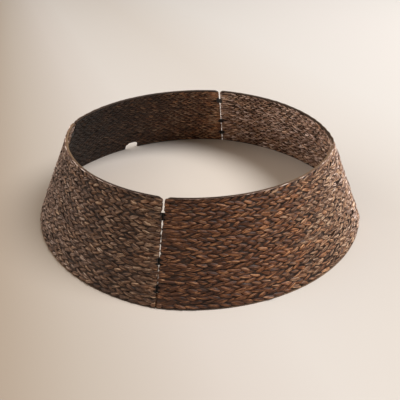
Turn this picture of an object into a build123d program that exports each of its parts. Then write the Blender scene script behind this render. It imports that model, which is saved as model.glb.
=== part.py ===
from build123d import *
from math import acos, atan, atan2, cos, hypot, radians, sin, sqrt
import os

# A woven collar that hides a tree stand: four curved, leaning wall panels of
# twined plant strand in welded bar frames, clipped together into a tapered
# ring. The origin is on the floor at the ring's centre, +Z up, and the front
# seam faces -Y. Lengths are millimetres.

# The ring: its outline is four corners, one at each seam
foot_reach_front = 380.0
foot_reach_side = 388.0
top_reach_front = 294.0
collar_height = 186.0
panel_half_turn = 41.5
seam_gap = 3.5

# The woven wall, and how far the stiles lie inside its ends
wall_thickness = 6.4
edge_margin = 3.6
weave_clearance = 0.1
wall_corner_radius = 7.0

# The frame: flat bar rails, round stiles and flat upright ribs
bar_width = 4.0
bar_depth = 2.5
bend_radius = 7.0
stile_diameter = 4.0
rib_width = 3.0
rib_depth = 1.5
rib_count = 5

# The cord arch through the foot of the rear left panel, lined by a hoop of bar
arch_width = 40.0
arch_height = 23.5
arch_shoulder_radius = 13.5

# The clips that join neighbouring stiles
clip_length = 14.0
clip_wall = 1.5
eye_sides = 8
bore_sides = 12
clip_running_clearance = 0.05
clip_mouth_width = 3.3
clip_window_clearance = 0.6
clip_place_shares = (0.17, 0.57, 0.82)

# Cuts run this far past what they cut
overrun = 20.0

seam_names = ("front", "right", "rear", "left")
panel_names = ("front_right", "rear_right", "rear_left", "front_left")
arch_panel = panel_names.index("rear_left")
seam_corners = (
    Vector(0, -foot_reach_front),
    Vector(foot_reach_side, 0),
    Vector(0, foot_reach_front),
    Vector(-foot_reach_side, 0),
)
upright = Vector(0, 0, 1)


def seam_out(seam):
    """Level direction from the ring's centre to a seam."""
    return seam_corners[seam % len(seam_corners)].normalized()


def seam_across(seam):
    """Level direction square to a seam, counterclockwise seen from above."""
    return upright.cross(seam_out(seam))


def panel_chord(panel):
    """Level vector between the corners of the ring that a panel joins."""
    return seam_corners[(panel + 1) % len(seam_corners)] - seam_corners[panel]


def panel_out(panel):
    """Level direction that the middle of a panel faces."""
    return panel_chord(panel).cross(upright).normalized()


def panel_axis(panel):
    """Foot of the upright axis that a panel's wall is round."""
    half_turn = radians(panel_half_turn)
    setback = panel_chord(panel).length / 2 * cos(half_turn) / sin(half_turn)
    return seam_corners[panel] + panel_chord(panel) / 2 - panel_out(panel) * setback


foot_radius = (seam_corners[0] - panel_axis(0)).length
top_radius = (seam_out(0) * top_reach_front - panel_axis(0)).length
lean = atan((foot_radius - top_radius) / collar_height)
wall_run = wall_thickness / cos(lean)
stile_setback = seam_gap / 2 + edge_margin
top_rail_level = collar_height - (bar_depth * cos(lean) + bar_width * sin(lean)) / 2
rebate_half_width = max(bar_width, stile_diameter) / 2 + weave_clearance
eye_radius = stile_diameter / 2 + clip_running_clearance + clip_wall


def wall_radius(level):
    """Radius of the middle of the wall at one height."""
    return foot_radius + (top_radius - foot_radius) * level / collar_height - wall_run / 2


def in_wall(panel, level, turn):
    """Point on the middle of a panel's wall, turned in radians from the panel's middle."""
    out = panel_out(panel)
    heading = atan2(out.Y, out.X) + turn
    way = Vector(cos(heading), sin(heading))
    return panel_axis(panel) + way * wall_radius(level) + upright * level


def stile_point(panel, side, level, reach):
    """Point at one height on a stile's line, at a reach from the panel's axis.

    side is -1 at the panel's first seam and 1 at its last.
    """
    seam = panel if side < 0 else panel + 1
    out = seam_out(seam)
    into = seam_across(seam) * -side
    to_line = panel_axis(panel).dot(into) - stile_setback
    along = panel_axis(panel).dot(out) + sqrt(reach**2 - to_line**2)
    return into * stile_setback + out * along + upright * level


def rim_corner(panel, side):
    """Where the top rail's tangent meets the stile's line, and the turn where the rail ends."""
    radius = wall_radius(top_rail_level)
    reach = hypot(radius, bend_radius)
    corner = stile_point(panel, side, top_rail_level, reach)
    heading = corner - panel_axis(panel)
    facing = panel_out(panel)
    turn = atan2(heading.Y, heading.X) - atan2(facing.Y, facing.X)
    turn = atan2(sin(turn), cos(turn))
    return corner, turn - side * acos(radius / reach)


def stile_line(panel, side):
    """Foot of a stile on the floor, its head at the rail's bend, and its unit direction."""
    foot = stile_point(panel, side, 0, wall_radius(0))
    corner, _ = rim_corner(panel, side)
    up = (corner - foot).normalized()
    return foot, corner - up * bend_radius, up


def rim_end(panel, side):
    """End of the top rail's arc, and the direction in which it leaves there."""
    corner, turn = rim_corner(panel, side)
    point = in_wall(panel, top_rail_level, turn)
    return point, (corner - point).normalized()


def end_plane(panel, side):
    """Plane of a panel's end face, facing into the panel."""
    seam = panel if side < 0 else panel + 1
    into = seam_across(seam) * -side
    return Plane(origin=into * seam_gap / 2, z_dir=into)


def round_panel(panel, corners):
    """A section, as points out from the panel's axis and up, turned from seam to seam."""
    half_turn = radians(panel_half_turn)
    out = panel_out(panel)
    heading = atan2(out.Y, out.X) - half_turn
    first = Vector(cos(heading), sin(heading))
    with BuildPart(mode=Mode.PRIVATE) as band:
        with BuildSketch(Plane(origin=panel_axis(panel), x_dir=first, z_dir=first.cross(upright))):
            Polygon(*corners, align=None)
        revolve(axis=Axis(panel_axis(panel), upright), revolution_arc=2 * panel_half_turn)
        for side in (-1, 1):
            split(bisect_by=end_plane(panel, side), keep=Keep.TOP)
    return band.part


def wall_band(panel):
    """The leaning wall from the foot rail to the underside of the top rail."""
    drop = bar_depth / 2 + weave_clearance
    head_radius = wall_radius(top_rail_level) + drop * sin(lean)
    head_level = top_rail_level - drop * cos(lean)
    out = wall_thickness / 2 * cos(lean)
    rise = wall_thickness / 2 * sin(lean)
    band = round_panel(
        panel,
        (
            (wall_radius(bar_depth) + wall_run / 2, bar_depth),
            (head_radius + out, head_level + rise),
            (head_radius - out, head_level - rise),
            (wall_radius(bar_depth) - wall_run / 2, bar_depth),
        ),
    )
    with BuildPart(mode=Mode.PRIVATE) as wall:
        add(band)
        short = wall.edges().filter_by(lambda edge: edge.length < 2 * wall_run)
        fillet(short.sort_by(Axis.Z)[-2:], radius=wall_corner_radius)
    return wall.part


def rail_along(route, across_wall):
    """Flat bar along a route, its width across the wall."""
    with BuildPart(mode=Mode.PRIVATE) as bar:
        with BuildSketch(Plane(origin=route @ 0, x_dir=across_wall, z_dir=route % 0)):
            Rectangle(bar_width, bar_depth)
        sweep(path=route)
    return bar.part


def top_rail(panel):
    """Flat bar along the rim, bent down at both ends to meet the stiles."""
    _, first_head, first_up = stile_line(panel, -1)
    _, last_head, _ = stile_line(panel, 1)
    start, start_heading = rim_end(panel, -1)
    end, end_heading = rim_end(panel, 1)
    with BuildLine(mode=Mode.PRIVATE) as route:
        TangentArc(first_head, start, tangent=first_up)
        ThreePointArc(start, in_wall(panel, top_rail_level, 0), end)
        TangentArc(end, last_head, tangent=end_heading)
    return rail_along(route.wire(), first_up.cross(start_heading))


def edge_rebate(panel, side):
    """The rebate in a panel's end, behind its outer lip, for the stile and the rail's bend."""
    foot, _, up = stile_line(panel, side)
    corner, _ = rim_corner(panel, side)
    _, heading = rim_end(panel, side)
    outward = (heading.cross(up) * side).normalized()
    lip_face = corner + outward * rebate_half_width
    into = (up.cross(heading.cross(up)) * -1).normalized()
    inner = stile_diameter / 2 + weave_clearance
    with BuildPart(mode=Mode.PRIVATE) as rebate:
        with BuildSketch(Plane(origin=lip_face, x_dir=into, z_dir=into.cross(up))):
            with BuildLine():
                bend = RadiusArc((inner, -bend_radius), (bend_radius, -inner), bend_radius - inner)
                Polyline(
                    bend @ 1,
                    (bend_radius, overrun),
                    (-overrun, overrun),
                    (-overrun, -(corner - foot).length - overrun),
                    (inner, -(corner - foot).length - overrun),
                    bend @ 0,
                )
            make_face()
        extrude(amount=overrun, dir=outward * -1)
    return rebate.part


def upright_bar(foot, head, section, floor_level):
    """Straight bar of a drawn section from a level floor up to its head."""
    up = (head - foot).normalized()
    start = foot - up * overrun
    with BuildPart(mode=Mode.PRIVATE) as bar:
        with BuildSketch(Plane(origin=start, x_dir=up.cross(upright), z_dir=up)):
            add(section)
        extrude(amount=(head - start).length)
        split(bisect_by=Plane.XY.offset(floor_level), keep=Keep.TOP)
    return bar.part


def arch_plane(panel):
    """Plane flat on the middle of a panel's wall, its origin on the floor and Y up the slope."""
    out = panel_out(panel)
    across_wall = out * cos(lean) + upright * sin(lean)
    return Plane(origin=in_wall(panel, 0, 0), x_dir=upright.cross(out), z_dir=across_wall)


def arch_line(margin):
    """The arch's outline a margin outside its clear opening, from below the floor and back."""
    half_width = arch_width / 2 + margin
    crown = arch_height + margin
    leg_end = -arch_height / 2
    return FilletPolyline(
        (-half_width, leg_end),
        (-half_width, crown),
        (half_width, crown),
        (half_width, leg_end),
        radius=arch_shoulder_radius + margin,
    )


def arch_opening(panel, margin):
    """What the arch takes out of the wall, right through it."""
    with BuildPart(mode=Mode.PRIVATE) as opening:
        with BuildSketch(arch_plane(panel)):
            with BuildLine():
                legs = arch_line(margin)
                Line(legs @ 1, legs @ 0)
            make_face()
        extrude(amount=overrun, both=True)
    return opening.part


def rib_bars(panel, spare):
    """Every rib of a panel, larger all round by what is spare."""
    _, first = rim_corner(panel, -1)
    _, last = rim_corner(panel, 1)
    with BuildSketch(mode=Mode.PRIVATE) as section:
        Rectangle(rib_width + 2 * spare, rib_depth + 2 * spare)
    bars = []
    for index in range(rib_count):
        turn = first + (last - first) * (index + 1) / (rib_count + 1)
        foot = in_wall(panel, 0, turn)
        head = in_wall(panel, top_rail_level, turn)
        up = (head - foot).normalized()
        bars.append(upright_bar(foot, head - up * bar_depth / 2, section.sketch, bar_depth))
    return bars


def seam_plane(seam, share):
    """Plane square to the stiles at a seam, at a share of their length from the top.

    Its X runs across the seam and its Y points into the ring.
    """
    foot, _, up = stile_line(seam, -1)
    corner, _ = rim_corner(seam, -1)
    beside = corner + (foot - corner) * share
    origin = beside - seam_across(seam) * stile_setback
    return Plane(origin=origin, x_dir=seam_across(seam), z_dir=up)


def clip_windows(panel):
    """Gaps in the wall's ends that leave the stiles bare for the clips."""
    with BuildPart(mode=Mode.PRIVATE) as windows:
        for seam in (panel, (panel + 1) % len(panel_names)):
            for share in clip_place_shares:
                with BuildSketch(seam_plane(seam, share)):
                    Rectangle(
                        2 * (stile_setback + eye_radius + clip_window_clearance), 2 * overrun
                    )
                extrude(amount=clip_length / 2 + clip_window_clearance, both=True)
    return windows.part


os.makedirs("parts", exist_ok=True)

with BuildSketch() as rod_section:
    Circle(stile_diameter / 2)

for panel, panel_name in enumerate(panel_names):
    # Top rail: flat bar along the rim, square to the wall, with bent ends
    with BuildPart() as rim:
        add(top_rail(panel))
    rim.part.label = panel_name + "_top_rail"
    export_step(rim.part, "parts/" + panel_name + "_top_rail.step")

    # Foot rail: flat bar lying on the floor, in two lengths where the arch is
    half_bar = bar_width / 2
    middle = wall_radius(bar_depth)
    with BuildPart() as sill:
        add(
            round_panel(
                panel,
                (
                    (middle - half_bar, 0),
                    (middle + half_bar, 0),
                    (middle + half_bar, bar_depth),
                    (middle - half_bar, bar_depth),
                ),
            )
        )
        if panel == arch_panel:
            add(arch_opening(panel, bar_depth), mode=Mode.SUBTRACT)
    sill.part.label = panel_name + "_foot_rail"
    export_step(sill.part, "parts/" + panel_name + "_foot_rail.step")

    # Stiles: round rods from the foot rail to the top rail's bends
    with BuildPart() as stiles:
        for side in (-1, 1):
            foot, head, _ = stile_line(panel, side)
            add(upright_bar(foot, head, rod_section.sketch, bar_depth))
    stiles.part.label = panel_name + "_stiles"
    export_step(stiles.part, "parts/" + panel_name + "_stiles.step")

    # Ribs: flat uprights between the rails, which the strand is twined round
    with BuildPart() as ribs:
        for bar in rib_bars(panel, 0):
            add(bar)
        if panel == arch_panel:
            add(arch_opening(panel, bar_depth), mode=Mode.SUBTRACT)
    ribs.part.label = panel_name + "_ribs"
    export_step(ribs.part, "parts/" + panel_name + "_ribs.step")

    # Weave: the wall, with its ribs inside and a lip over the stile at each end
    with BuildPart() as weave:
        add(wall_band(panel))
        for side in (-1, 1):
            add(edge_rebate(panel, side), mode=Mode.SUBTRACT)
        for bar in rib_bars(panel, weave_clearance):
            add(bar, mode=Mode.SUBTRACT)
        add(clip_windows(panel), mode=Mode.SUBTRACT)
        if panel == arch_panel:
            add(arch_opening(panel, bar_depth + weave_clearance), mode=Mode.SUBTRACT)
    weave.part.label = panel_name + "_weave"
    export_step(weave.part, "parts/" + panel_name + "_weave.step")

# Arch hoop: flat bar bent round the cord arch, its legs cut off at the floor
with BuildPart() as hoop:
    with BuildLine(arch_plane(arch_panel)):
        legs = arch_line(bar_depth / 2)
    with BuildSketch(Plane(origin=legs @ 0, x_dir=arch_plane(arch_panel).z_dir, z_dir=legs % 0)):
        Rectangle(bar_width, bar_depth)
    sweep(path=legs)
    split(bisect_by=Plane.XY, keep=Keep.TOP)
hoop.part.label = panel_names[arch_panel] + "_arch_hoop"
export_step(hoop.part, "parts/" + panel_names[arch_panel] + "_arch_hoop.step")

for seam, seam_name in enumerate(seam_names):
    # Clips: moulded bars with an open eye at each end, mouths outwards
    with BuildPart() as clips:
        for share in clip_place_shares:
            with BuildSketch(seam_plane(seam, share)):
                with Locations((-stile_setback, 0), (stile_setback, 0)):
                    RegularPolygon(
                        eye_radius, eye_sides, major_radius=False, rotation=180 / eye_sides
                    )
                with Locations((0, eye_radius)):
                    Rectangle(2 * stile_setback, clip_wall, align=(Align.CENTER, Align.MAX))
                with Locations((-stile_setback, 0), (stile_setback, 0)):
                    RegularPolygon(
                        stile_diameter / 2 + clip_running_clearance,
                        bore_sides,
                        major_radius=False,
                        rotation=180 / bore_sides,
                        mode=Mode.SUBTRACT,
                    )
                    Rectangle(
                        clip_mouth_width,
                        eye_radius,
                        align=(Align.CENTER, Align.MAX),
                        mode=Mode.SUBTRACT,
                    )
            extrude(amount=clip_length / 2, both=True)
    clips.part.label = seam_name + "_seam_clips"
    export_step(clips.part, "parts/" + seam_name + "_seam_clips.step")
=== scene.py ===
import bmesh
import bpy
from math import acos, asin, atan, cos, hypot, pi, radians, sin, sqrt, tan
from mathutils import Matrix, Vector, noise
from random import Random


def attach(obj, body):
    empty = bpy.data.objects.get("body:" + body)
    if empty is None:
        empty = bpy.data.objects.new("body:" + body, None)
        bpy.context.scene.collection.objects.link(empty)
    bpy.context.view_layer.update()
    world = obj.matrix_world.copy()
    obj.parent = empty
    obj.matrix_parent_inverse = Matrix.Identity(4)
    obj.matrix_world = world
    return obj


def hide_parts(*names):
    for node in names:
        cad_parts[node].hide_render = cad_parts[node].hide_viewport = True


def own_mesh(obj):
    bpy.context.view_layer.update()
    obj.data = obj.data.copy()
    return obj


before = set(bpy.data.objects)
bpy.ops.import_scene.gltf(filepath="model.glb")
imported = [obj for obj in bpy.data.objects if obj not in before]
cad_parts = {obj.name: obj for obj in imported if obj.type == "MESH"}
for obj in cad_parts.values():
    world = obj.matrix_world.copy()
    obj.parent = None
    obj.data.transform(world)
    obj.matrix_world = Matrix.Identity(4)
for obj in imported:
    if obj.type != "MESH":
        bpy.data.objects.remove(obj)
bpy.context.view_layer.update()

# The studio: a pale warm floor, painted darker to the left as painted shade
# and warmer inside the ring as painted bounced light, one broad soft window
# light high on the right, and a faint glow from all round that is strongest
# on the left, as from a white board.
floor_reach = 14.0
floor_darkest_at, floor_palest_at = -0.6, 2.4
ring_floor_from, ring_floor_full = 0.42, 0.26
camera_place = (0.19996, -0.95716, 0.60833)
camera_across = Vector((0.97978, 0.20010, 0.00049))
camera_up = Vector((-0.10582, 0.51605, 0.85000))
camera_lens = 41.69


class Wire:
    """One output of a shader node, on which sums can be written."""

    def __init__(self, finish, socket):
        self.finish = finish
        self.socket = socket

    def math(self, operation, *others):
        return self.finish.node("ShaderNodeMath", {"operation": operation}, self, *others)

    def __add__(self, other):
        return self.math("ADD", other)

    def __radd__(self, other):
        return self.math("ADD", other)

    def __sub__(self, other):
        return self.math("SUBTRACT", other)

    def __rsub__(self, other):
        return self.finish.node("ShaderNodeMath", {"operation": "SUBTRACT"}, other, self)

    def __mul__(self, other):
        return self.math("MULTIPLY", other)

    def __rmul__(self, other):
        return self.math("MULTIPLY", other)

    def __pow__(self, other):
        return self.math("POWER", other)

    def __rpow__(self, other):
        return self.finish.node("ShaderNodeMath", {"operation": "POWER"}, other, self)


class Finish:
    """A material or the world, built up node by node."""

    def __init__(self, owner):
        owner.use_nodes = True
        self.owner = owner
        self.tree = owner.node_tree
        self.tree.nodes.clear()

    def node(self, kind, settings=None, *values, out=0, **named):
        """A node with its settings, then its sockets by their order, None to skip, or by name."""
        made = self.tree.nodes.new(kind)
        for key, value in (settings or {}).items():
            if key == "stops":
                ramp = made.color_ramp.elements
                while len(ramp) < len(value):
                    ramp.new(0.5)
                for stop, (place, colour) in zip(ramp, value):
                    stop.position = place
                    stop.color = (*colour, 1.0)
            else:
                setattr(made, key, value)
        for key, value in list(enumerate(values)) + list(named.items()):
            if value is None:
                continue
            if isinstance(key, str):
                key = key.replace("_", " ")
            socket = made.inputs[key]
            if isinstance(value, Wire):
                self.tree.links.new(value.socket, socket)
            elif socket.type == "RGBA" and len(value) == 3:
                socket.default_value = (*value, 1.0)
            else:
                socket.default_value = value
        return Wire(self, made.outputs[out]) if made.outputs else None

    def blend(self, share, first, second):
        """first where share is 0, second where it is 1, as colours."""
        skipped = (None,) * 5
        return self.node(
            "ShaderNodeMix", {"data_type": "RGBA"}, share, *skipped, first, second, out=2
        )


def linear(red, green, blue):
    """A colour as it is seen, from 0 to 255, for a shader's socket."""
    share = [c / 255 for c in (red, green, blue)]
    return tuple(c / 12.92 if c <= 0.04045 else ((c + 0.055) / 1.055) ** 2.4 for c in share)


def new_finish(name):
    """A material of that name, with no nodes yet."""
    return Finish(bpy.data.materials.new(name))


def new_piece(name, bm, finish):
    """A mesh object from a bmesh, smooth, in one finish."""
    mesh = bpy.data.meshes.new(name)
    for face in bm.faces:
        face.smooth = True
    bm.to_mesh(mesh)
    bm.free()
    piece = bpy.data.objects.new(name, mesh)
    bpy.context.scene.collection.objects.link(piece)
    mesh.materials.append(finish.owner)
    return piece


bm = bmesh.new()
bmesh.ops.create_grid(bm, x_segments=1, y_segments=1, size=floor_reach)
floor_paint = new_finish("studio_floor")
spot = floor_paint.node("ShaderNodeTexCoord", out="Object")
towards_window = floor_paint.node(
    "ShaderNodeVectorMath", {"operation": "DOT_PRODUCT"}, spot, (0.839, 0.545, 0.0), out="Value"
)
place = floor_paint.node(
    "ShaderNodeMapRange", None, towards_window, floor_darkest_at, floor_palest_at, 0.0, 1.0
)
# Painted shade: the floor's colour darkens towards the left, away from the window, standing in
# for the soft shadow and fall-off of light there.
floor_colour = floor_paint.node(
    "ShaderNodeValToRGB",
    {
        "stops": (
            (0.0, linear(168, 151, 135)),
            (0.045, linear(180, 165, 149)),
            (0.083, linear(196, 185, 173)),
            (0.15, linear(215, 207, 200)),
            (0.2, linear(221, 215, 209)),
            (0.34, linear(219, 212, 205)),
            (0.5, linear(226, 222, 218)),
            (0.8, linear(231, 227, 224)),
            (1.0, linear(233, 230, 227)),
        )
    },
    place,
)
# Painted bounced light: inside the ring the floor is tinted warmer, as by light bounced off the
# brown walls.
from_middle = floor_paint.node(
    "ShaderNodeVectorMath", {"operation": "LENGTH"}, spot, out="Value"
)
inside = floor_paint.node(
    "ShaderNodeMapRange", None, from_middle, ring_floor_from, ring_floor_full, 0.0, 1.0
)
painted_bounce_warmth = floor_paint.node(
    "ShaderNodeVectorMath", {"operation": "MULTIPLY"}, floor_colour, (1.04, 1.0, 0.95)
)
floor_colour = floor_paint.blend(inside, floor_colour, painted_bounce_warmth)
floor_paint.node(
    "ShaderNodeOutputMaterial",
    None,
    floor_paint.node("ShaderNodeBsdfPrincipled", None, Base_Color=floor_colour, Roughness=0.95),
)
floor = new_piece("studio_floor", bm, floor_paint)

camera_back = camera_across.cross(camera_up)
turn = Matrix((camera_across, camera_up, camera_back)).transposed().to_4x4()
camera_data = bpy.data.cameras.new("camera")
camera_data.lens = camera_lens
camera_data.clip_end = 3 * floor_reach
camera = bpy.data.objects.new("camera", camera_data)
camera.matrix_world = Matrix.Translation(camera_place) @ turn
bpy.context.scene.collection.objects.link(camera)
bpy.context.scene.camera = camera
bpy.context.scene.view_settings.view_transform = "Standard"

window_distance = 9.0
window_width = 5.4
window_power = 820.0
window_height_angle = radians(56)
window_side_angle = radians(6)
window_colour = (0.99, 0.985, 0.985)
window_place = window_distance * Vector(
    (
        cos(window_height_angle) * cos(window_side_angle),
        cos(window_height_angle) * sin(window_side_angle),
        sin(window_height_angle),
    )
)
window_data = bpy.data.lights.new("window_light", "AREA")
window_data.shape = "DISK"
window_data.size = window_width
window_data.energy = window_power
window_data.color = window_colour
window = bpy.data.objects.new("window_light", window_data)
window_turn = window_place.to_track_quat("Z", "Y").to_matrix().to_4x4()
window.matrix_world = Matrix.Translation(window_place) @ window_turn
bpy.context.scene.collection.objects.link(window)

world = bpy.data.worlds.new("studio_glow")
bpy.context.scene.world = world
glow = Finish(world)
way = glow.node("ShaderNodeTexCoord", out="Generated")
from_left = glow.node(
    "ShaderNodeVectorMath", {"operation": "DOT_PRODUCT"}, way, (-0.88, -0.33, 0.34), out="Value"
)
reflector = from_left.math("MAXIMUM", 0.0) ** 3.0
overhead = glow.node("ShaderNodeSeparateXYZ", None, way, out="Z").math("MAXIMUM", 0.0)
glow_colour = glow.blend(reflector, linear(255, 234, 206), linear(255, 249, 244))
glow_strength = 0.075 + overhead * 0.08 + reflector * 1.45
seen = glow.node("ShaderNodeLightPath", out="Is Camera Ray")
glow.node(
    "ShaderNodeOutputWorld",
    None,
    glow.node(
        "ShaderNodeMixShader",
        None,
        seen,
        glow.node("ShaderNodeBackground", None, glow_colour, glow_strength),
        glow.node("ShaderNodeBackground", None, linear(238, 230, 220), 1.0),
    ),
)

# The frame of each panel: flat bar rails, round end rods and flat uprights,
# welded up and brush painted dark brown. Only the rim, the foot, the cord
# arch's hoop and the rods in the seams show. The paint is made paler towards
# the sides on the front half: a painted reflection of the bright backdrop on the rim.
frame_paint = new_finish("frame_paint")
where = frame_paint.node("ShaderNodeTexCoord", out="Object")
sideways = frame_paint.node("ShaderNodeSeparateXYZ", None, where, out="X").math("ABSOLUTE")
to_front = frame_paint.node("ShaderNodeSeparateXYZ", None, where, out="Y")
# Painted reflection: paler towards the sides, on the front half only.
painted_reflection = frame_paint.node("ShaderNodeMapRange", None, sideways, 0.06, 0.24, 0.0, 0.4)
painted_reflection = painted_reflection * frame_paint.node("ShaderNodeMapRange", None, to_front, 0.03, -0.02, 0.0, 1.0)
brushing = frame_paint.node("ShaderNodeTexNoise", None, where, Scale=260.0, Detail=3.0)
blotch = frame_paint.node("ShaderNodeTexNoise", None, where, Scale=30.0, Detail=2.0)
paint_colour = frame_paint.node(
    "ShaderNodeValToRGB",
    {
        "stops": (
            (0.2, linear(44, 31, 24)),
            (0.5, linear(74, 54, 41)),
            (1.0, linear(168, 138, 108)),
        )
    },
    brushing * 0.4 + blotch * 0.3 + painted_reflection,
)
brush_marks = frame_paint.node(
    "ShaderNodeBump", None, Strength=0.3, Distance=0.0003, Height=brushing
)
frame_paint.node(
    "ShaderNodeOutputMaterial",
    None,
    frame_paint.node(
        "ShaderNodeBsdfPrincipled",
        None,
        Base_Color=paint_colour,
        Roughness=0.32 + brushing * 0.2,
        Normal=brush_marks,
    ),
)


def finish_node(name, finish):
    """One piece of the source, in its finish."""
    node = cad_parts[name]
    node.data.materials.clear()
    node.data.materials.append(finish.owner)


for panel in ("front_right", "front_left", "rear_right", "rear_left"):
    for piece in ("top_rail", "foot_rail", "stiles", "ribs"):
        finish_node(panel + "_" + piece, frame_paint)
finish_node("rear_left_arch_hoop", frame_paint)

# The woven wall of each panel: dried hyacinth strand, stained brown, twined
# row on row round the uprights and round the end rods. Each row is a string
# of overlapping stitches that slant against the next row's, like a plait.
foot_reach_front = 0.380
foot_reach_side = 0.388
top_reach_front = 0.294
collar_height = 0.186
panel_half_turn = radians(41.5)
wall_thickness = 0.0064
stile_setback = 0.00535
rim_slope_height = 0.2038
corner_radius = 0.007

chord = hypot(foot_reach_side, foot_reach_front)
setback = chord / 2 / tan(panel_half_turn)
axis_x = foot_reach_side / 2 - foot_reach_front / chord * setback
axis_y = -foot_reach_front / 2 + foot_reach_side / chord * setback
foot_radius = hypot(axis_x, foot_reach_front + axis_y)
top_radius = hypot(axis_x, top_reach_front + axis_y)
lean = atan((foot_radius - top_radius) / collar_height)
wall_run = wall_thickness / cos(lean)

row_count = 26
stitches_round = 56
lowest_row = 0.0029
highest_row = 0.2012
row_pitch = (highest_row - lowest_row) / row_count
edge_round = 0.0031
turn_length = pi * edge_round
loop_spacing = 0.0134
loop_steps = ((0.16, 0.0010), (0.54, 0.0005))
loop_fade = 0.12
longest_loop = 0.002
clip_heights = (0.1682, 0.0872, 0.0365)
window_half = 0.0076
window_depth = 0.0042
arch_half_width = 0.0207
arch_crown = 0.0241
arch_shoulder = 0.0195

face_out, face_bulge = 0.00165, 0.00185
edge_out, edge_bulge = 0.0031, 0.0009
edge_fade = 0.007
bridge_out, bridge_bulge = 0.0042, 0.0005
bridge_reach = 0.0115
bridge_past_rod = 0.003
head_blunt, tail_blunt = 0.14, 0.26
head_dive, tail_dive = 3.2, 2.0
dive_depth = 0.0018
tight_reach = 0.05
core_half_thickness = 0.0013
# The core's low relief share paints it dark, as painted shade between the stitches.
core_dye_and_shade = (-0.3, 0.45, 0.12)

# For each panel: its mirror signs across and along, the hinges that turn its
# first and its last edge in a neighbour's clips, how pale and how warm its
# strand is at those edges, and its longest stitch in pitches. The paleness is
# partly the strand's own tone and partly painted light and shade: the rear left
# panel is painted darker towards the left seam as shade, and the rear right
# panel is painted pale all along as light bounced in from the floor.
panels = {
    "front_right": {
        "signs": (1, 1),
        "hinges": ("front_hinge", None),
        "pale": (-1.0, 1.0),
        "warm": (1.4, -0.5),
        "longest": 1.65,
    },
    "front_left": {
        "signs": (-1, 1),
        "hinges": (None, None),
        "pale": (-0.4, 0.7),
        "warm": (0.15, -1.0),
        "longest": 1.4,
    },
    "rear_right": {
        "signs": (1, -1),
        "hinges": (None, "right_hinge"),
        "pale": (0.8, 1.0),
        "warm": (-0.45, -0.55),
        "longest": 1.4,
    },
    "rear_left": {
        "signs": (-1, -1),
        "hinges": (None, "left_hinge"),
        "pale": (0.5, -2.3),
        "warm": (0.25, 0.1),
        "longest": 1.35,
    },
}


def wall_radius(level):
    """Radius of the wall's middle about the panel's own axis, at a height."""
    return foot_radius + (top_radius - foot_radius) * level / collar_height - wall_run / 2


def edge_turns(up):
    """Radius of the wall's middle up the slope, and the turns of its two end rods."""
    radius = wall_radius(up * cos(lean))
    first = asin((stile_setback - axis_x) / radius)
    last = acos((axis_y + stile_setback) / radius)
    above = max(up - (rim_slope_height - corner_radius), 0.0)
    recess = corner_radius - sqrt(max(corner_radius**2 - above**2, 0.0))
    return radius, first + recess / radius, last - recess / radius


def row_span(up):
    """Length of one face of the wall at a height up the slope, from rod to rod."""
    radius, first, last = edge_turns(up)
    return radius * (last - first)


def swell(up):
    """How far the strand stands out past the end rods: tight at the top, in loops below."""
    share = 1 - up / highest_row
    loose = sum(
        reach * min(max((share - start) / loop_fade, 0.0), 1.0) for start, reach in loop_steps
    )
    loop = max(cos(up * 2 * pi / loop_spacing), 0.0) ** 3
    uneven = noise.noise(Vector((0.0, 5.0, up * 300)))
    return 0.0001 + min(loose * (1 + 1.1 * loop + 0.3 * uneven), longest_loop)


def round_wall(signs, span, run, up, out):
    """Point round a row: along the outside, round the last rod, back inside, round the first."""
    run %= 2 * span + 2 * turn_length
    radius, first, last = edge_turns(up)
    if run <= span:
        turn, side, over = first + run / span * (last - first), 1.0, 0.0
    elif run < span + turn_length:
        bend = (run - span) / edge_round
        turn, side, over = last, cos(bend), sin(bend)
    elif run <= 2 * span + turn_length:
        back = (run - span - turn_length) / span
        turn, side, over = last - back * (last - first), -1.0, 0.0
    else:
        bend = (run - 2 * span - turn_length) / edge_round
        turn, side, over = first, -cos(bend), -sin(bend)
    across = out * side
    beyond = (out + abs(over) * swell(up)) * over
    reach = radius + across * cos(lean)
    x = axis_x + reach * sin(turn) + beyond * cos(turn)
    y = axis_y - reach * cos(turn) + beyond * sin(turn)
    z = up * cos(lean) + across * sin(lean)
    return Vector((signs[0] * x, signs[1] * y, z))


def arch_depth(along, up):
    """How far inside the cord arch a point is, or minus how far outside."""
    x = abs(along) - (arch_half_width - arch_shoulder)
    y = abs(up) - (arch_crown - arch_shoulder)
    outside = hypot(max(x, 0.0), max(y, 0.0))
    return arch_shoulder - outside - min(max(x, y), 0.0)


def clear_of_arch(span, run, up, wanted):
    """run and up, moved out of the cord arch where they lie in it, or within wanted of it."""
    inner = run > span + turn_length / 2
    place = 2 * span + turn_length - run if inner else run
    along = place - span / 2
    step = 0.0002
    for _ in range(4):
        depth = arch_depth(along, up) + wanted
        if depth <= 0:
            break
        gx = arch_depth(along + step, up) - arch_depth(along - step, up)
        gy = arch_depth(along, up + step) - arch_depth(along, up - step)
        size = hypot(gx, gy) or 1.0
        along -= gx / size * depth
        up -= gy / size * depth
    place = along + span / 2
    return (2 * span + turn_length - place if inner else place), up


def from_rods(span, run):
    """Signed distances round a row from the middles of its last and its first rod."""
    total = 2 * span + 2 * turn_length
    middles = (span + turn_length / 2, total - turn_length / 2)
    return [(run - middle + total / 2) % total - total / 2 for middle in middles]


def clear_of_window(span, run, up):
    """run and up, moved out of the gaps that leave the end rods bare for the clips."""
    reach = turn_length / 2 + window_depth
    for rod in (0, 1):
        off = from_rods(span, run)[rod]
        if abs(off) >= reach:
            continue
        for height in clip_heights:
            rise = up - height
            if abs(rise) < window_half:
                back = reach - abs(off)
                lift = window_half - abs(rise)
                if back < lift:
                    run += back if off > 0 else -back
                else:
                    up += lift if rise > 0 else -lift
    return run, up


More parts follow.
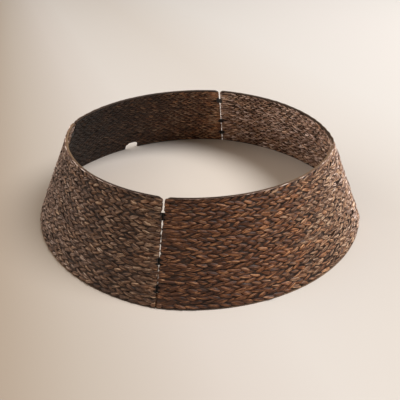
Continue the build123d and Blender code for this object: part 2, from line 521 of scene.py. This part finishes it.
def in_window(span, run, up):
    """Whether a stitch's middle lies in one of those gaps."""
    beside_clip = any(abs(up - height) < window_half for height in clip_heights)
    reach = turn_length / 2 + window_depth * 0.5
    return beside_clip and min(abs(off) for off in from_rods(span, run)) < reach


def edge_share(span, run):
    """1 on an end rod, falling to 0 a few millimetres along either face."""
    nearest = min(abs(off) for off in from_rods(span, run))
    return min(max(1 - (nearest - turn_length / 2) / edge_fade, 0.0), 1.0)


def leaf_shape(rings):
    """A round bead of strand, its poles at the two ends, to be drawn out along a row."""
    bm = bmesh.new()
    turn = Matrix.Rotation(pi / 2, 4, "Y")
    bmesh.ops.create_uvsphere(bm, u_segments=8, v_segments=rings, radius=1.0, matrix=turn)
    mesh = bpy.data.meshes.new("leaf_%d" % rings)
    bm.to_mesh(mesh)
    bm.free()
    return mesh


long_leaf = leaf_shape(12)
short_leaf = leaf_shape(6)


def draw_out(verts, layers, signs, arch, span, stitch):
    """One visible length of strand: a blunt leaf that dives under its neighbour at each end."""
    bridge = stitch.get("bridge", 0.0)
    ceiling = stitch.get("ceiling", highest_row + 0.0001)
    strand_layer, dye_and_light_layer = layers
    for vert in verts:
        along, across, out = vert.co
        point = max(1 - along * along, 0.0) ** (head_blunt if along > 0 else tail_blunt)
        crease = noise.noise(Vector((along * 1.6, across * 1.5, stitch["seed"])))
        half = stitch["width"] * point * (0.92 + 0.14 * along) * (1 + 0.3 * crease)
        run = stitch["middle"] + along * stitch["length"] / 2
        rise = stitch["slant"] * sin(along * pi / 2) + stitch["bow"] * (1 - along * along)
        rise += across * half
        high = stitch["up"] + rise
        edge = edge_share(span, run) * (1 - bridge)
        body = face_out + stitch["depth"]
        bulge = face_bulge
        body += edge * (edge_out - body) + bridge * (bridge_out - body)
        bulge += edge * (edge_bulge - bulge) + bridge * (bridge_bulge - bulge)
        sink = dive_depth * abs(along) ** (head_dive if along > 0 else tail_dive)
        sink *= (1 - 0.85 * edge) * (1 - bridge)
        lifted = body - sink + out * bulge
        rough = crease * 0.0006 + across * stitch["tilt"] * half
        lifted += rough * (1 - edge) * (1 - bridge)
        if arch:
            run, high = clear_of_arch(span, run, high, 0.0001)
        if not bridge:
            run, high = clear_of_window(span, run, high)
        high = min(max(high, lowest_row - 0.0002), ceiling)
        tone, warmth = stitch["dye"]
        # Relief share: low in the gaps and on the flanks, high on the crests. The finish paints
        # shade where it is low and a highlight where it is high.
        painted_light_relief = max(out, 0.0) * (1 - 0.7 * along**4) + stitch["depth"] * 400
        painted_light_relief += bridge * 0.3 + edge * 0.2 + stitch.get("tight", 0.0) * 0.2
        vert[strand_layer] = Vector((along * stitch["length"] / 2, across * half, stitch["seed"]))
        vert[dye_and_light_layer] = Vector((tone, warmth, min(max(painted_light_relief, 0.0), 1.0)))
        vert.co = round_wall(signs, span, run, high, max(lifted, 0.0003))


def strand_layers(bm):
    """Two attributes: the place in its own strand, and the tone, the warmth and the relief share
    that drives painted shade in the gaps and a painted highlight on the crests.
    """
    layers = bm.verts.layers.float_vector
    return layers.new("strand"), layers.new("dye")


def lay_row(signs, arch, span, stitches):
    """The stitches of one row, as a mesh."""
    bm = bmesh.new()
    layers = strand_layers(bm)
    counts = []
    for stitch in stitches:
        near = edge_share(span, stitch["middle"]) > 0 or "bridge" in stitch
        leaf = long_leaf if near else short_leaf
        bm.from_mesh(leaf)
        counts.append(len(leaf.vertices))
    bm.verts.ensure_lookup_table()
    first = 0
    for stitch, count in zip(stitches, counts):
        draw_out(bm.verts[first:first + count], layers, signs, arch, span, stitch)
        first += count
    mesh = bpy.data.meshes.new("row")
    bm.to_mesh(mesh)
    bm.free()
    return mesh


def core_bmesh(signs, arch):
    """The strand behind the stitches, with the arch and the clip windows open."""
    bm = bmesh.new()
    strand_layer, dye_and_light_layer = strand_layers(bm)
    bmesh.ops.create_grid(bm, x_segments=96, y_segments=52, size=1.0)
    core_low, core_high = lowest_row + 0.0002, highest_row - 0.0004
    for vert in bm.verts:
        up = core_low + (core_high - core_low) * (0.5 + 0.5 * vert.co.y)
        span = row_span(up)
        bare = any(abs(up - height) < window_half for height in clip_heights)
        margin = window_depth + 0.0004 if bare else 0.0
        vert.co = (margin + (span - 2 * margin) * (0.5 + 0.5 * vert.co.x), up, 0.0)
    if arch:
        inside = [
            face
            for face in bm.faces
            for middle in (face.calc_center_median(),)
            if arch_depth(middle.x - row_span(middle.y) / 2, middle.y) > 0
        ]
        bmesh.ops.delete(bm, geom=inside, context="FACES")
        for vert in bm.verts:
            run, up = clear_of_arch(row_span(vert.co.y), vert.co.x, vert.co.y, 0.0002)
            vert.co = (run, up, 0.0)
    bmesh.ops.solidify(bm, geom=bm.faces[:] + bm.edges[:] + bm.verts[:], thickness=0.001)
    for vert in bm.verts:
        run, up, lift = vert.co
        vert[strand_layer] = Vector((run, up, 0.5))
        vert[dye_and_light_layer] = Vector(core_dye_and_shade)
        out = core_half_thickness if abs(lift) < 0.0005 else -core_half_thickness
        vert.co = round_wall(signs, row_span(up), run, up, out)
    return bm


def dye_and_painted_light_of(draw, panel, share, strength=1.0):
    """Tone, with the panel's painted light and shade in it, and warmth of one length of strand,
    share of the way along the panel.
    """
    pale, last_pale_and_painted_light = panel["pale"]
    warm, warm_last = panel["warm"]
    tone = (pale + (last_pale_and_painted_light - pale) * share) * strength
    return tone, draw.random() * 0.55 + 0.22 + (warm + (warm_last - warm) * share) * strength


def weave_bmesh(name, panel):
    """All the stitches of one panel, outside and in, over its thin core, which is painted dark as
    shade.
    """
    draw = Random("stitches of " + name)
    arch = name == "rear_left"
    signs = panel["signs"]
    outer_longest, inner_longest = panel["longest"], min(panel["longest"], 1.4)
    bm = core_bmesh(signs, arch)
    for row in range(row_count):
        level = lowest_row + row_pitch * (row + 0.5)
        span = row_span(level)
        total = 2 * span + 2 * turn_length
        pitch = total / stitches_round
        phase = 0.5 * (row % 2)
        lay = 1 if row % 2 else -1
        stitches = []
        for index in range(stitches_round):
            middle = span + turn_length / 2 + (index + phase) * pitch + draw.gauss(0, 0.0010)
            middle %= total
            inner = middle > span + turn_length / 2
            place = 2 * span + turn_length - middle if inner else middle
            longest = inner_longest if inner else outer_longest
            # The tone, with its painted light and shade, and the warmth are set in full on the
            # side of each panel that faces the camera, and at 0.4 on the other side.
            photographed = inner == (signs[1] < 0)
            tight = max(1 - min(place, span - place) / tight_reach, 0.0)
            sway = 0.0014 * noise.noise(Vector((place * 11, level * 14, 3.0 if inner else 9.0)))
            stitch = {
                "middle": middle,
                "up": level + sway + draw.gauss(0, 0.0004),
                "length": pitch * draw.uniform(1.05, longest) * (1 + 0.25 * tight),
                "width": row_pitch * draw.uniform(0.51, 0.64 if inner else 0.74),
                "slant": lay * row_pitch * draw.uniform(0.13, 0.39) * (1 - 0.6 * tight),
                "bow": row_pitch * draw.gauss(0, 0.08),
                "tilt": lay * 0.08 + draw.gauss(0, 0.22),
                "depth": draw.gauss(0, 0.00032) + 0.0002 * tight,
                "tight": tight,
                "dye": dye_and_painted_light_of(draw, panel, place / span, 1.0 if photographed else 0.4),
                "seed": draw.uniform(0, 50),
            }
            if in_window(span, middle, level):
                continue
            if arch and arch_depth(place - span / 2, level) > 0.0005:
                continue
            stitches.append(stitch)
        mesh = lay_row(signs, arch, span, stitches)
        bm.from_mesh(mesh)
        bpy.data.meshes.remove(mesh)
    mesh = rim_strand(draw, signs)
    bm.from_mesh(mesh)
    bpy.data.meshes.remove(mesh)
    for hinge, at_last in zip(panel["hinges"], (False, True)):
        if hinge is None:
            add_bridges(bm, draw, panel, at_last)
    bmesh.ops.recalc_face_normals(bm, faces=bm.faces)
    return bm


def rim_strand(draw, signs):
    """The thin strand along the outer side of the top rail, in long overlapping lengths, painted
    paler towards the sides on the front panels as a painted reflection.
    """
    level = highest_row + 0.0004
    span = row_span(level) - 2 * corner_radius
    lengths = 15
    # Painted reflection: on the front panels the rim strand grows paler towards the sides.
    palest_painted_sheen = 0.9 if signs[1] > 0 else 0.0
    stitches = [
        {
            "middle": corner_radius + (index + 0.5) * span / lengths,
            "up": level,
            "length": 1.5 * span / lengths,
            "width": 0.0011,
            "slant": 0.0003,
            "bow": 0.0,
            "tilt": 0.0,
            "depth": 0.0009 + draw.gauss(0, 0.0001),
            "dye": (palest_painted_sheen * index / lengths, -0.1),
            "seed": draw.uniform(0, 50),
            "ceiling": level + 0.002,
        }
        for index in range(lengths)
    ]
    return lay_row(signs, False, row_span(level), stitches)


def add_bridges(bm, draw, panel, at_last):
    """Strands that pass over the clips on the outer face and stop just round the end rod."""
    for height in clip_heights:
        for step, lay in ((-1.5, 1), (-0.5, -1), (0.5, 1), (1.5, -1)):
            level = height + step * window_half * 0.55
            span = row_span(level)
            start, stop = bridge_reach + draw.uniform(-0.001, 0.001), -bridge_past_rod
            middle, length = (start + stop) / 2, start - stop
            stitch = {
                "middle": span - middle if at_last else middle,
                "up": level,
                "length": length,
                "width": window_half * 0.34,
                "slant": lay * 0.0011 + draw.gauss(0, 0.0003),
                "bow": 0.0,
                "tilt": 0.0,
                "depth": 0.0,
                "dye": dye_and_painted_light_of(draw, panel, 1.0 if at_last else 0.0),
                "seed": draw.uniform(0, 50),
                "bridge": 1.0,
            }
            mesh = lay_row(panel["signs"], False, span, [stitch])
            bm.from_mesh(mesh)
            bpy.data.meshes.remove(mesh)


hyacinth = new_finish("hyacinth_strand")
strand = hyacinth.node("ShaderNodeAttribute", {"attribute_name": "strand"}, out="Vector")
dye = hyacinth.node("ShaderNodeAttribute", {"attribute_name": "dye"}, out="Vector")
tone = hyacinth.node("ShaderNodeSeparateXYZ", None, dye, out="X")
warmth = hyacinth.node("ShaderNodeSeparateXYZ", None, dye, out="Y")
painted_light_relief = hyacinth.node("ShaderNodeSeparateXYZ", None, dye, out="Z")
stretch = hyacinth.node(
    "ShaderNodeVectorMath", {"operation": "MULTIPLY"}, strand, (50.0, 480.0, 3.0)
)
fibre = hyacinth.node("ShaderNodeTexNoise", None, stretch, Scale=1.0, Detail=4.0, Roughness=0.7)
where = hyacinth.node("ShaderNodeTexCoord", out="Object")
patch = hyacinth.node("ShaderNodeTexNoise", None, where, Scale=22.0, Detail=3.0)
own = (hyacinth.node("ShaderNodeSeparateXYZ", None, strand, out="Z") * 7.3).math("FRACT")
pale = 0.3 + tone * 0.12 + (own - 0.5) * 0.22 + (patch - 0.5) * 0.4
# The relief term is a painted highlight on the crests.
pale = pale + (fibre - 0.5) * 3.6 + painted_light_relief * 0.24
body_colour = hyacinth.node(
    "ShaderNodeValToRGB",
    {
        "stops": (
            (0.0, linear(46, 30, 21)),
            (0.28, linear(76, 50, 35)),
            (0.5, linear(104, 72, 51)),
            (0.75, linear(144, 109, 83)),
            (1.0, linear(200, 172, 144)),
        )
    },
    pale,
)
rusty = hyacinth.node("ShaderNodeMapRange", None, warmth, 0.6, 1.2, 0.0, 0.85)
rust = hyacinth.node(
    "ShaderNodeVectorMath", {"operation": "MULTIPLY"}, body_colour, (1.34, 0.9, 0.55)
)
warm_colour = hyacinth.blend(rusty, body_colour, rust)
# Greyer, bluer strand where the warmth is low: partly a dusty grey cast, partly a painted sheen
# of the bright surroundings at grazing angles.
dust_and_sheen_share = hyacinth.node("ShaderNodeMapRange", None, warmth, 0.4, -0.15, 0.0, 1.0)
dust_and_sheen = hyacinth.node(
    "ShaderNodeVectorMath", {"operation": "MULTIPLY"}, body_colour, (0.94, 1.1, 1.48)
)
strand_colour = hyacinth.blend(dust_and_sheen_share, warm_colour, dust_and_sheen)
# This brightness scale carries the panels' painted light and shade along with their own tone.
toned_and_painted_light = hyacinth.node(
    "ShaderNodeVectorMath", {"operation": "SCALE"}, strand_colour, Scale=2.0 ** (tone * 1.1)
)
# Painted shade: where the relief is low, in the gaps and on the flanks of the stitches, the
# colour goes to near black.
painted_gap_shade = hyacinth.node("ShaderNodeMapRange", None, painted_light_relief, 0.54, 0.02, 0.0, 1.0) ** 1.7
final_colour = hyacinth.blend(painted_gap_shade, toned_and_painted_light, linear(22, 14, 10))
ridges = hyacinth.node("ShaderNodeBump", None, Strength=0.9, Distance=0.0009, Height=fibre)
hyacinth.node(
    "ShaderNodeOutputMaterial",
    None,
    hyacinth.node(
        "ShaderNodeBsdfPrincipled",
        None,
        Base_Color=final_colour,
        Roughness=0.38 + fibre * 0.2 + painted_gap_shade * 0.3,
        Specular_IOR_Level=0.36,
        Normal=ridges,
    ),
)

for name, panel in panels.items():
    weave = new_piece(name + "_stitches", weave_bmesh(name, panel), hyacinth)
    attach(weave, name + "_panel")
    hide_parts(name + "_weave")

# The strands over the clips, on an edge that turns in a neighbour's clips: the
# same hyacinth, left loose at the rod, as a piece of their own on the panel.
# On the other edges they are woven in with the wall.
for name, panel in panels.items():
    for hinge, at_last in zip(panel["hinges"], (False, True)):
        if hinge is None:
            continue
        bm = bmesh.new()
        strand_layers(bm)
        add_bridges(bm, Random("strands over the clips of " + name), panel, at_last)
        bmesh.ops.recalc_face_normals(bm, faces=bm.faces)
        level = highest_row / 2
        span = row_span(level)
        runs = (span - bridge_reach, span) if at_last else (bridge_reach, 0.0)
        start, stop = (round_wall(panel["signs"], span, run, level, bridge_out) for run in runs)
        strands = new_piece(name + "_seam_strands", bm, hyacinth)
        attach(strands, name + "_panel")
        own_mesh(strands)

# The clips: moulded black plastic, each two open eyes joined by a bar, snapped
# on the neighbouring panels' end rods from inside the ring.
clip_plastic = new_finish("clip_plastic")
where = clip_plastic.node("ShaderNodeTexCoord", out="Object")
grain = clip_plastic.node("ShaderNodeTexNoise", None, where, Scale=900.0, Detail=2.0)
fine_grain = clip_plastic.node(
    "ShaderNodeBump", None, Strength=0.15, Distance=0.0001, Height=grain
)
clip_plastic.node(
    "ShaderNodeOutputMaterial",
    None,
    clip_plastic.node(
        "ShaderNodeBsdfPrincipled",
        None,
        Base_Color=linear(24, 23, 24),
        Roughness=0.25 + grain * 0.15,
        Normal=fine_grain,
    ),
)
for seam in ("front", "right", "rear", "left"):
    finish_node(seam + "_seam_clips", clip_plastic)
